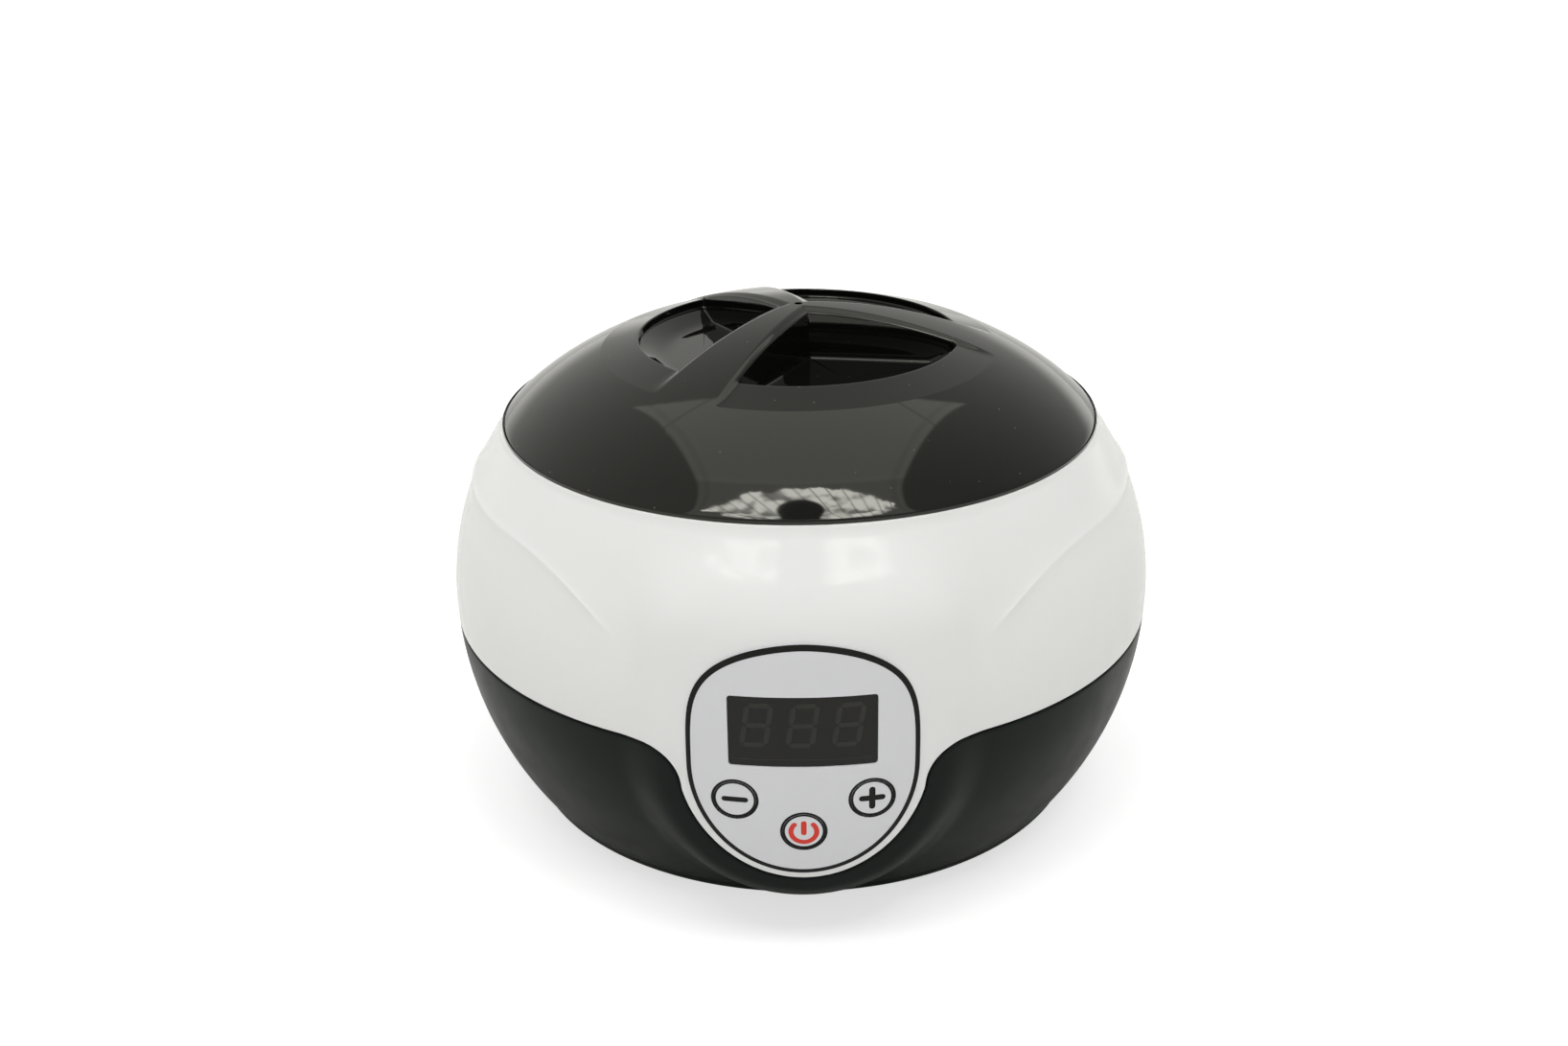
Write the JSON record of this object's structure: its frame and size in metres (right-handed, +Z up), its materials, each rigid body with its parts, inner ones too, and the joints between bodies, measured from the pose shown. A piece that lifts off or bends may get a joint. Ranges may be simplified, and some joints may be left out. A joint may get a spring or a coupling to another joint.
{
  "type": "wax warmer",
  "caption": "Round table-top wax warmer with a lift-out pot on a bail, a domed lid with finger pockets and a front panel with display and press keys.",
  "frame": {"origin": "middle of the round housing, on the table that the rubber feet stand on", "axes": "+Z up along the housing's axis; -Y points out of the control panel's front; +X is to the right of someone who faces the panel"},
  "size_m": [0.1798, 0.1825, 0.13],
  "materials": {
    "white_shell": "glossy moulded ABS",
    "black_base": "semi-gloss moulded ABS",
    "lid_black": "high-gloss moulded ABS",
    "rubber_feet": "matt rubber",
    "screw_steel": "zinc-plated steel",
    "panel_film": "fine matt printed film",
    "smoked_lens": "smoked clear plastic",
    "green_board": "solder mask over glass-epoxy",
    "tan_board": "bare phenolic board",
    "dark_component": "moulded component case",
    "ribbon_grey": "flat ribbon insulation",
    "inner_plastic": "natural moulded plastic",
    "well_aluminium": "spun and drawn aluminium",
    "pot_aluminium": "drawn aluminium, fine satin",
    "silicone_red": "silicone rubber",
    "heater_film": "polyimide film",
    "glass_wool": "glass-fibre wrap",
    "ceramic_white": "ceramic body",
    "winding_tape": "taped winding",
    "relay_blue": "moulded relay case",
    "fuse_glass": "glass tube with plated caps",
    "inlet_black": "moulded inlet",
    "plated_brass": "nickel-plated brass",
    "wire_brown": "wire insulation",
    "wire_white": "silicone wire insulation",
    "bail_steel": "nickel-plated spring steel",
    "grip_black": "heat-resistant plastic sleeve"
  },
  "bodies": {
    "housing": {"upper_housing": "white_shell", "lower_housing": "black_base", "rubber_feet": "rubber_feet", "housing_screws": "screw_steel", "control_overlay": "panel_film", "display_window": "smoked_lens", "display_board": "green_board", "led_display": "dark_component", "tact_switches": "dark_component", "display_screws": "screw_steel", "ribbon_cable": "ribbon_grey", "heating_well": "well_aluminium", "well_gasket": "silicone_red", "well_screws": "screw_steel", "heater_band": "heater_film", "insulation_wrap": "glass_wool", "sensor_clip": "well_aluminium", "temperature_sensor": "ceramic_white", "thermal_fuse": "ceramic_white", "clip_screws": "screw_steel", "power_board": "tan_board", "transformer": "winding_tape", "relay": "relay_blue", "capacitor": "dark_component", "board_fuse": "fuse_glass", "board_screws": "screw_steel", "mains_inlet": "inlet_black", "inlet_pins": "plated_brass", "inlet_leads": "wire_brown", "heater_leads": "wire_white"},
    "pot": {"wax_pot": "pot_aluminium", "pot_ears": "pot_aluminium", "ear_rivets": "pot_aluminium"},
    "bail": {"bail_wire": "bail_steel", "bail_grip": "grip_black"},
    "lid": {"lid": "lid_black"},
    "minus_button": {"key_minus": "panel_film", "plunger_minus": "inner_plastic"},
    "plus_button": {"key_plus": "panel_film", "plunger_plus": "inner_plastic"},
    "power_button": {"key_power": "panel_film", "plunger_power": "inner_plastic"}
  },
  "joints": [
    {"name": "pot_lift", "type": "slide", "parent": "housing", "child": "pot", "axis": [0, 0, 1], "range_m": [0, 0.08]},
    {"name": "lid_lift", "type": "slide", "parent": "pot", "child": "lid", "axis": [0, 0, 1], "range_m": [0, 0.18]},
    {"name": "bail_swing", "type": "hinge", "parent": "pot", "child": "bail", "pos_m": [0, 0, 0.1063], "axis": [1, 0, 0], "range_deg": [0, 180]},
    {"name": "minus_press", "type": "slide", "parent": "housing", "child": "minus_button", "axis": [0.1724, 0.9833, 0.0581], "range_m": [0, 0.0004], "stiffness_N_per_m": 800},
    {"name": "plus_press", "type": "slide", "parent": "housing", "child": "plus_button", "axis": [-0.1724, 0.9833, 0.0581], "range_m": [0, 0.0004], "stiffness_N_per_m": 800},
    {"name": "power_press", "type": "slide", "parent": "housing", "child": "power_button", "axis": [0, 0.9955, 0.095], "range_m": [0, 0.0004], "stiffness_N_per_m": 800}
  ],
  "couplings": [
    {"joint": "bail_swing", "follows": "lid_lift", "rad_per_m": 17.453}
  ]
}
